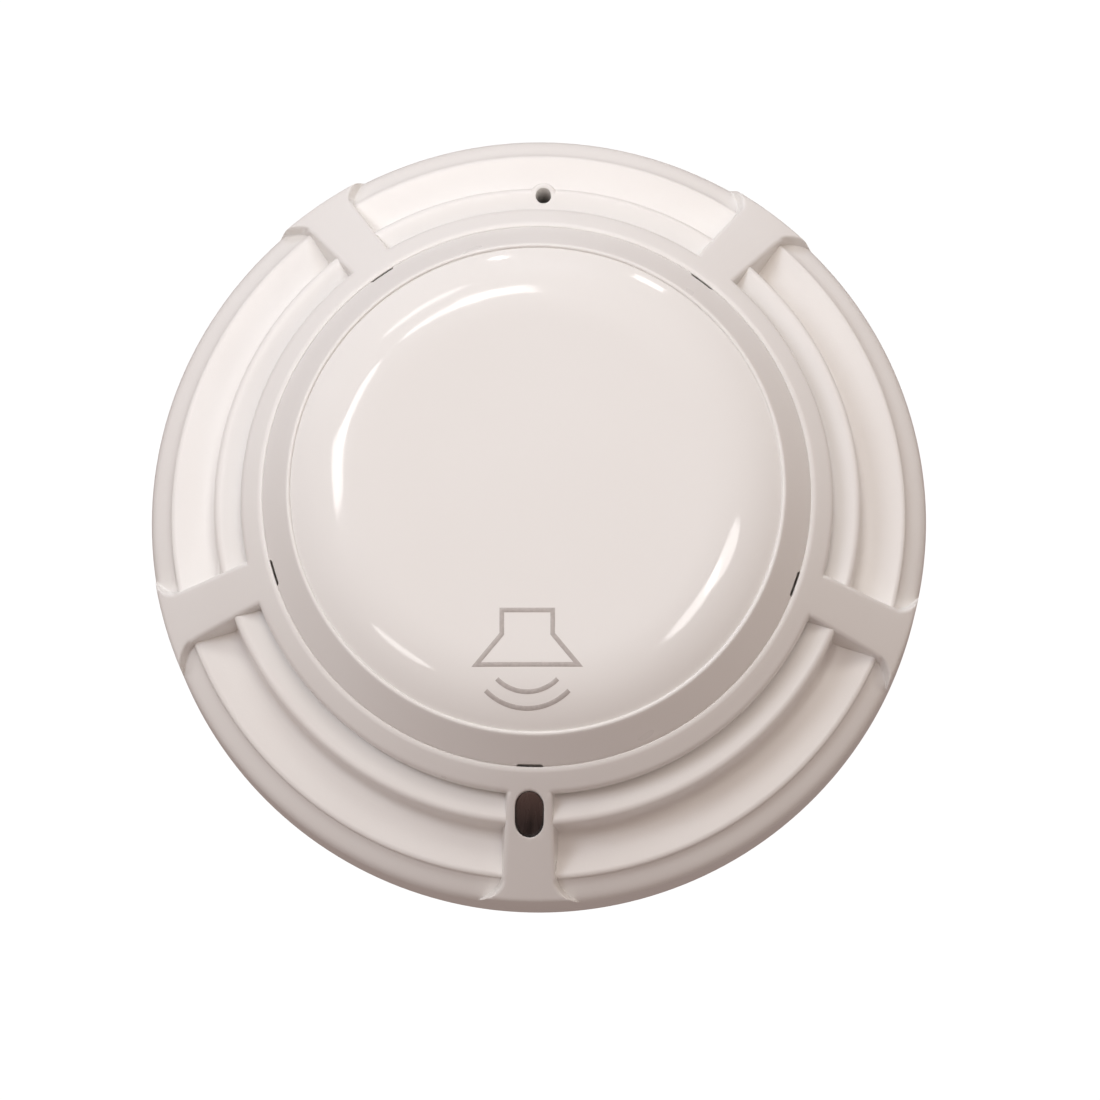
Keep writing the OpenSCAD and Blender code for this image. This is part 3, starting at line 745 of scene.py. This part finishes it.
class Paint:
    """One node material, built up from object-space noise."""

    def __init__(self, name, color, roughness):
        self.mat = bpy.data.materials.new(name)
        self.mat.use_nodes = True
        self.nodes = self.mat.node_tree.nodes
        self.links = self.mat.node_tree.links
        self.shader = self.nodes["Principled BSDF"]
        self.place = self.nodes.new("ShaderNodeTexCoord").outputs["Object"]
        self.color = (*color, 1)
        self.shader.inputs["Base Color"].default_value = self.color
        self.shader.inputs["Roughness"].default_value = roughness
        self.base = None
        self.height = None

    def node(self, kind, **values):
        """A new node with some of its settings given."""
        made = self.nodes.new(kind)
        for key, value in values.items():
            setattr(made, key, value)
        return made

    def stretched(self, scale):
        """The object's coordinates, scaled along each axis."""
        mapping = self.node("ShaderNodeMapping")
        mapping.inputs["Scale"].default_value = scale
        self.links.new(self.place, mapping.inputs["Vector"])
        return mapping.outputs["Vector"]

    def noise(self, size_mm, detail=3, stretch=None):
        """Noise whose lumps are about size_mm across, as a 0 to 1 socket."""
        made = self.node("ShaderNodeTexNoise")
        made.inputs["Scale"].default_value = 1 / (size_mm * MM)
        made.inputs["Detail"].default_value = detail
        self.links.new(self.stretched(stretch) if stretch else self.place,
                       made.inputs["Vector"])
        return made.outputs["Fac"]

    def ranged(self, socket, low, high, from_low=0.35, from_high=0.65):
        """Maps a socket's middle range to low and high."""
        made = self.node("ShaderNodeMapRange")
        made.inputs["From Min"].default_value = from_low
        made.inputs["From Max"].default_value = from_high
        made.inputs["To Min"].default_value = low
        made.inputs["To Max"].default_value = high
        self.links.new(socket, made.inputs["Value"])
        return made.outputs["Result"]

    def roughen(self, socket, low, high, from_low=0.35, from_high=0.65):
        """Varies the roughness with a socket."""
        self.links.new(self.ranged(socket, low, high, from_low, from_high),
                       self.shader.inputs["Roughness"])
        return self

    def tint(self, socket, color, low=0.0, high=1.0, from_low=0.35, from_high=0.65):
        """Mixes another colour in where the socket is high."""
        made = self.node("ShaderNodeMix", data_type="RGBA")
        self.links.new(self.ranged(socket, low, high, from_low, from_high),
                       made.inputs["Factor"])
        if self.base is None:
            made.inputs["A"].default_value = self.color
        else:
            self.links.new(self.base, made.inputs["A"])
        made.inputs["B"].default_value = (*color, 1)
        self.base = made.outputs["Result"]
        self.links.new(self.base, self.shader.inputs["Base Color"])
        return self

    def bump(self, socket, depth_mm, strength=1.0):
        """Relief of depth_mm, on top of any relief already there."""
        made = self.node("ShaderNodeBump")
        made.inputs["Distance"].default_value = depth_mm * MM
        made.inputs["Strength"].default_value = strength
        self.links.new(socket, made.inputs["Height"])
        if self.height is not None:
            self.links.new(self.height, made.inputs["Normal"])
        self.height = made.outputs["Normal"]
        self.links.new(self.height, self.shader.inputs["Normal"])
        return self

    def set(self, **values):
        """Plain shader values, named with underscores for spaces."""
        for key, value in values.items():
            self.shader.inputs[key.replace("_", " ")].default_value = value
        return self


def moulded(name, color, shade_color, roughness, grain_mm, grain_depth, flow_mm=14):
    """Injection-moulded plastic: fine spark grain, faint flow marks, uneven gloss."""
    paint = Paint(name, color, roughness)
    paint.tint(paint.noise(flow_mm, 1), shade_color, 0, 1, 0.2, 0.8)
    paint.roughen(paint.noise(6, 1), roughness - 0.03, roughness + 0.03, 0.2, 0.8)
    paint.bump(paint.noise(grain_mm, 3), grain_depth)
    return paint


def metal(name, color, dark, roughness, stretch):
    """Stamped or turned metal: drawn scratches along one direction, faint tarnish."""
    paint = Paint(name, color, roughness)
    paint.set(Metallic=1)
    scratches = paint.noise(0.5, 4, stretch)
    paint.tint(paint.noise(1.6, 3), dark, 0, 0.6)
    paint.roughen(scratches, roughness - 0.08, roughness + 0.12)
    paint.bump(scratches, 0.004, 0.6)
    return paint.mat


def fine(name, color, other, roughness, lump, depth):
    """A small part's finish: a faint second tint, uneven gloss and a fine grain."""
    paint = Paint(name, color, roughness)
    paint.tint(paint.noise(lump * 4, 2), other, 0, 0.7)
    paint.roughen(paint.noise(lump * 2, 3), roughness - 0.06, roughness + 0.08)
    return paint.bump(paint.noise(lump, 3), depth).mat


def board_paint():
    """Green solder mask over copper tracks, which show as paler lines."""
    paint = Paint("solder_mask", (0.012, 0.10, 0.035), 0.32)
    cells = paint.node("ShaderNodeTexVoronoi", feature="DISTANCE_TO_EDGE",
                       distance="CHEBYCHEV")
    cells.inputs["Scale"].default_value = 1 / (3.2 * MM)
    cells.inputs["Randomness"].default_value = 0.7
    paint.links.new(paint.place, cells.inputs["Vector"])
    tracks = cells.outputs["Distance"]
    paint.tint(tracks, (0.03, 0.21, 0.07), 1, 0, 0.05, 0.09)
    paint.tint(paint.noise(6, 2), (0.006, 0.06, 0.02), 0, 0.6)
    paint.bump(paint.ranged(tracks, 1, 0, 0.05, 0.09), 0.03)
    paint.roughen(paint.noise(1.2, 3), 0.26, 0.4)
    return paint.set(Coat_Weight=0.3).mat


def lens_paint():
    """Smoked polycarbonate with faint streaks along the light pipe, and painted light at its
    inner end.
    """
    paint = Paint("smoked_polycarbonate", (0.009, 0.0055, 0.005), 0.2)
    streaks = paint.noise(1.1, 3, (1, 0.16, 0.16))
    paint.tint(streaks, (0.045, 0.03, 0.027), 0, 0.7)
    # Painted light: the inner end is painted paler. It stands in for the light that comes through
    # the thinner moulding there
    split = paint.node("ShaderNodeSeparateXYZ")
    paint.links.new(paint.place, split.inputs["Vector"])
    low, high = -(LENS_Y + 1.2) * MM, -(LENS_Y - 3) * MM
    paint.tint(split.outputs["Y"], (0.14, 0.088, 0.075), 0, 0.75, low, high)
    paint.roughen(streaks, 0.14, 0.3)
    paint.bump(streaks, 0.01, 0.4)
    return paint.mat


def ink_paint():
    """Pad-printed grey ink: satin, a little uneven, thin at its edges."""
    paint = Paint("grey_ink", (0.42, 0.385, 0.365), 0.42)
    paint.tint(paint.noise(0.5, 4), (0.52, 0.48, 0.455), 0, 0.6)
    paint.roughen(paint.noise(0.4, 3), 0.36, 0.5)
    return paint.bump(paint.noise(0.12, 2), 0.006, 0.6).mat


def make_paints():
    """Every material, by the name of its slot in the record."""
    white = (0.80, 0.785, 0.76)
    cream = (0.785, 0.765, 0.738)
    dome = moulded("dome_plastic_paint", white, (0.79, 0.773, 0.746), 0.08, 0.5, 0.0006, 22)
    rubber = Paint("gasket_rubber_paint", (0.05, 0.048, 0.046), 0.75)
    rubber.tint(rubber.noise(1.5, 3), (0.085, 0.08, 0.075), 0, 0.7)
    rubber.bump(rubber.noise(0.15, 3), 0.03)
    rubber.roughen(rubber.noise(1, 2), 0.65, 0.85)

    shell = (0.84, 0.825, 0.8)
    shell_shade = (0.825, 0.806, 0.778)
    return {
        "cover_plastic": moulded("cover_plastic_paint", white, cream, 0.30, 0.22, 0.006).mat,
        "dome_plastic": dome.mat,
        "shell_plastic": moulded("shell_plastic_paint", shell, shell_shade, 0.36, 0.25,
                                 0.008).mat,
        "base_plastic": moulded("base_plastic_paint", (0.76, 0.715, 0.665),
                                (0.73, 0.68, 0.625), 0.42, 0.3, 0.014).mat,
        "cup_plastic": moulded("cup_plastic_paint", (0.66, 0.63, 0.59),
                               (0.60, 0.565, 0.52), 0.45, 0.3, 0.014).mat,
        "smoked_lens": lens_paint(),
        "mark_ink": ink_paint(),
        "contact_metal": metal("tinned_brass", (0.80, 0.66, 0.36), (0.55, 0.40, 0.18), 0.28,
                               (1, 1, 0.1)),
        "steel": metal("zinc_plate", (0.72, 0.73, 0.74), (0.50, 0.51, 0.50), 0.30,
                       (1, 0.3, 0.2)),
        "gasket_rubber": rubber.mat,
        "board": board_paint(),
        "chip_black": fine("moulded_epoxy", (0.022, 0.022, 0.024), (0.04, 0.04, 0.042), 0.5,
                           0.12, 0.01),
        "ceramic_tan": fine("ceramic_chip", (0.42, 0.28, 0.16), (0.52, 0.37, 0.23), 0.4,
                            0.2, 0.008),
        "can_metal": metal("can_sleeve", (0.10, 0.12, 0.26), (0.05, 0.06, 0.16), 0.34,
                           (1, 1, 0.1)),
        "ferrite": fine("ferrite_core", (0.06, 0.058, 0.062), (0.11, 0.105, 0.10), 0.6,
                        0.3, 0.04),
        "led_body": fine("led_epoxy", (0.45, 0.04, 0.03), (0.62, 0.09, 0.06), 0.2, 0.4, 0.004),
        "bead_brown": fine("bead_epoxy", (0.20, 0.075, 0.03), (0.30, 0.13, 0.06), 0.25,
                           0.3, 0.02),
        "piezo_white": fine("fired_silver", (0.70, 0.69, 0.66), (0.58, 0.57, 0.54), 0.4,
                            0.2, 0.006),
        "wire_red": fine("red_sleeve", (0.52, 0.03, 0.02), (0.40, 0.02, 0.015), 0.35, 0.3,
                         0.01),
        "wire_black": fine("black_sleeve", (0.025, 0.025, 0.025), (0.05, 0.05, 0.05), 0.35,
                           0.3, 0.01),
    }


def paint_cad(paints):
    """Gives every CAD node the material of its slot in the record."""
    slots = {part["node"]: part["material_slot"] for part in frame["record"]["subparts"]}
    for name, obj in frame["nodes"].items():
        for place in obj.material_slots:
            place.material = paints[slots[name]]


paints = make_paints()
paint_cad(paints)
front_cover(paints["cover_plastic"])
indicator_window(paints["smoked_lens"])
stepped_housing(paints["shell_plastic"])
bezel_ring(paints["cover_plastic"])
dome_cap(paints["dome_plastic"])
sounder_mark(paints["mark_ink"])
latch_spring(paints["steel"])


# ---- Camera, floor and light ----

VIEW_TILT = radians(9.7)
VIEW_YAW = radians(-1)
VIEW_ROLL = radians(1.4)
VIEW_DISTANCE = 1.0
LENS_MM = 228
SENSOR_MM = 36
AIM = (0.00153, -0.0024)  # the point looked at: metres to the right and up from the origin


def view_axis():
    """From the part towards the camera."""
    return Vector((-sin(VIEW_YAW) * cos(VIEW_TILT), -sin(VIEW_TILT),
                   cos(VIEW_YAW) * cos(VIEW_TILT)))


def make_camera():
    """A long lens, tilted a little towards the indicator rib."""
    back = view_axis()
    right = Vector((cos(VIEW_YAW), 0, sin(VIEW_YAW)))
    up = back.cross(right)
    target = right * AIM[0] + up * AIM[1]
    data = bpy.data.cameras.new("camera")
    data.lens = LENS_MM
    data.sensor_width = SENSOR_MM
    data.clip_start = 0.01
    cam = bpy.data.objects.new("camera", data)
    turn = Matrix((right, up, back)).transposed().to_4x4()
    cam.matrix_world = (Matrix.Translation(target + back * VIEW_DISTANCE) @ turn
                        @ Matrix.Rotation(VIEW_ROLL, 4, "Z"))
    bpy.context.collection.objects.link(cam)
    bpy.context.scene.camera = cam


def make_floor():
    """A plain white room, whose floor lies clear of the part so that its back shows too."""
    half, floor_z, top_z = 2.6, -0.7, 2.6
    corners = [(x, y, z) for z in (floor_z, top_z)
               for x, y in ((-half, -half), (half, -half), (half, half), (-half, half))]
    faces = [(0, 1, 2, 3), (7, 6, 5, 4)] + [(k, k + 4, (k + 1) % 4 + 4, (k + 1) % 4)
                                            for k in range(4)]
    mesh = bpy.data.meshes.new("floor")
    mesh.from_pydata(corners, [], faces)
    paint = Paint("floor", (0.05, 0.05, 0.05), 0.9)
    paint.set(Emission_Color=(1, 1, 1, 1), Emission_Strength=1)
    mesh.materials.append(paint.mat)
    obj = bpy.data.objects.new("floor", mesh)
    bpy.context.collection.objects.link(obj)
    # The lamps alone light the part
    obj.visible_diffuse = False
    obj.visible_glossy = False
    obj.visible_transmission = False
    obj.visible_shadow = False


LIGHT_DISTANCE = 1.5
SOFT_WIDTH = 0.45
STRIP_COLOR = (1, 0.99, 0.97)
SKY_COLOR = (1, 0.74, 0.67, 1)
SKY_STRENGTH = 0.25
PAGE_DISTANCE = 0.5    # a lamp below the part, for the light that a white page throws back
PAGE_WIDTH = 4
PAGE_RADIANCE = 0.3

COOL = (0.93, 1, 1.1)
PLAIN = (1, 1, 0.97)
WARM = (1.03, 0.98, 0.88)
ROSY = (1, 0.9, 0.86)

# Matt light from the front and from the sides: name, direction, colour
FRONT_LIGHTS = [
    ("front", (0, 0.1, 1), ROSY),
    ("front_left", (-0.43, 0.14, 0.89), COOL),
    ("front_right", (0.27, -0.37, 0.89), WARM),
    ("front_top", (0, 0.45, 0.89), PLAIN),
]
SIDE_LIGHTS = [
    ("high_left", (-0.76, 0.44, 0.47), PLAIN),
    ("high_top", (0, 0.88, 0.47), COOL),
    ("high_right", (0.76, 0.44, 0.47), WARM),
    ("low_left", (-0.76, -0.44, 0.47), WARM),
    ("low_right", (0.76, -0.44, 0.47), WARM),
]
# Strength on a white facing the lamp: in the middle, then the change towards +X and +Y
FRONT_STRENGTH = (0.135, -0.23, 0.03)
SIDE_STRENGTH = (0.09, -0.02, 0.15)

# Bright strips that only show as reflections on the dome. Each end is given as the place
# on the dome that mirrors it: radius in mm and angle in degrees from +X. Then the strip's
# width in degrees, its radiance and its shape.
STRIPS = [
    ("streak_left_low", (27.5, 187), (28.5, 164), 8, 7, "RECTANGLE"),
    ("streak_left_high", (28, 174), (28, 142), 5, 7, "ELLIPSE"),
    ("streak_top_thin", (28, 134), (28, 98), 4.5, 7, "ELLIPSE"),
    ("streak_top_wide", (28, 115), (28, 92), 7, 7, "RECTANGLE"),
    ("streak_top_outer", (30, 137), (30, 110), 4, 5, "ELLIPSE"),
    ("streak_edge_left", (33, 103), (33, 98), 5, 9, "ELLIPSE"),
    ("streak_edge_right", (33, 67), (33, 59), 6, 8, "RECTANGLE"),
    ("streak_right_high", (29, 350), (28, 329), 9, 7, "ELLIPSE"),
    ("streak_right_low", (28, 339), (28.5, 311), 7, 7, "ELLIPSE"),
    ("streak_low", (30, 222), (29.5, 242), 4.5, 6, "ELLIPSE"),
]


def mirrored(r, angle):
    """The direction that a place on the dome mirrors to the camera."""
    slope, angle = dome_slope(r), radians(angle)
    normal = Vector((sin(slope) * cos(angle), sin(slope) * sin(angle), cos(slope)))
    view = view_axis()
    return 2 * normal.dot(view) * normal - view


def area_light(name, place, reach, spin_to, size, power, color, gloss, shape="RECTANGLE"):
    """A flat lamp facing the object. Its first side runs towards spin_to."""
    data = bpy.data.lights.new(name, "AREA")
    data.shape = shape
    data.size, data.size_y = size
    data.energy = power
    data.color = color
    obj = bpy.data.objects.new(name, data)
    z = Vector(place).normalized()
    x = Vector(spin_to)
    x = (x - z * x.dot(z)).normalized()
    turn = Matrix((x, z.cross(x), z)).transposed().to_4x4()
    obj.matrix_world = Matrix.Translation(z * reach) @ turn
    obj.visible_camera = False
    obj.visible_diffuse = not gloss
    obj.visible_glossy = gloss
    bpy.context.collection.objects.link(obj)


def soft_light(name, place, color, middle, per_x, per_y):
    """A square lamp for matt shading only, whose strength depends on where it stands."""
    strength = middle + per_x * place[0] + per_y * place[1]
    area_light(name, place, LIGHT_DISTANCE, (1, 0.2, 0), (SOFT_WIDTH, SOFT_WIDTH),
               strength * (pi * LIGHT_DISTANCE) ** 2, color, False)


def strip_light(name, start, end, width, radiance, shape):
    """A bright strip between the directions that two places on the dome mirror."""
    start, end = mirrored(*start), mirrored(*end)
    length = 2 * LIGHT_DISTANCE * sin(start.angle(end) / 2)
    breadth = LIGHT_DISTANCE * radians(width)
    area = length * breadth * (pi / 4 if shape == "ELLIPSE" else 1)
    area_light(name, start + end, LIGHT_DISTANCE, end - start, (length, breadth),
               radiance * pi * area, STRIP_COLOR, True, shape)


def make_light():
    """A dim warm sky, the matt lamps, the page's bounce and the gloss strips."""
    world = bpy.data.worlds.new("world")
    world.use_nodes = True
    sky = world.node_tree.nodes["Background"]
    sky.inputs["Color"].default_value = SKY_COLOR
    sky.inputs["Strength"].default_value = SKY_STRENGTH
    bpy.context.scene.world = world
    for lamp in FRONT_LIGHTS:
        soft_light(*lamp, *FRONT_STRENGTH)
    for lamp in SIDE_LIGHTS:
        soft_light(*lamp, *SIDE_STRENGTH)
    area_light("bounce", (0, 0, -1), PAGE_DISTANCE, (1, 0.2, 0), (PAGE_WIDTH, PAGE_WIDTH),
               PAGE_RADIANCE * pi * PAGE_WIDTH ** 2, (1, 1, 1), False)
    for strip in STRIPS:
        strip_light(*strip)


make_camera()
make_floor()
make_light()
bpy.context.scene.view_settings.view_transform = "Standard"
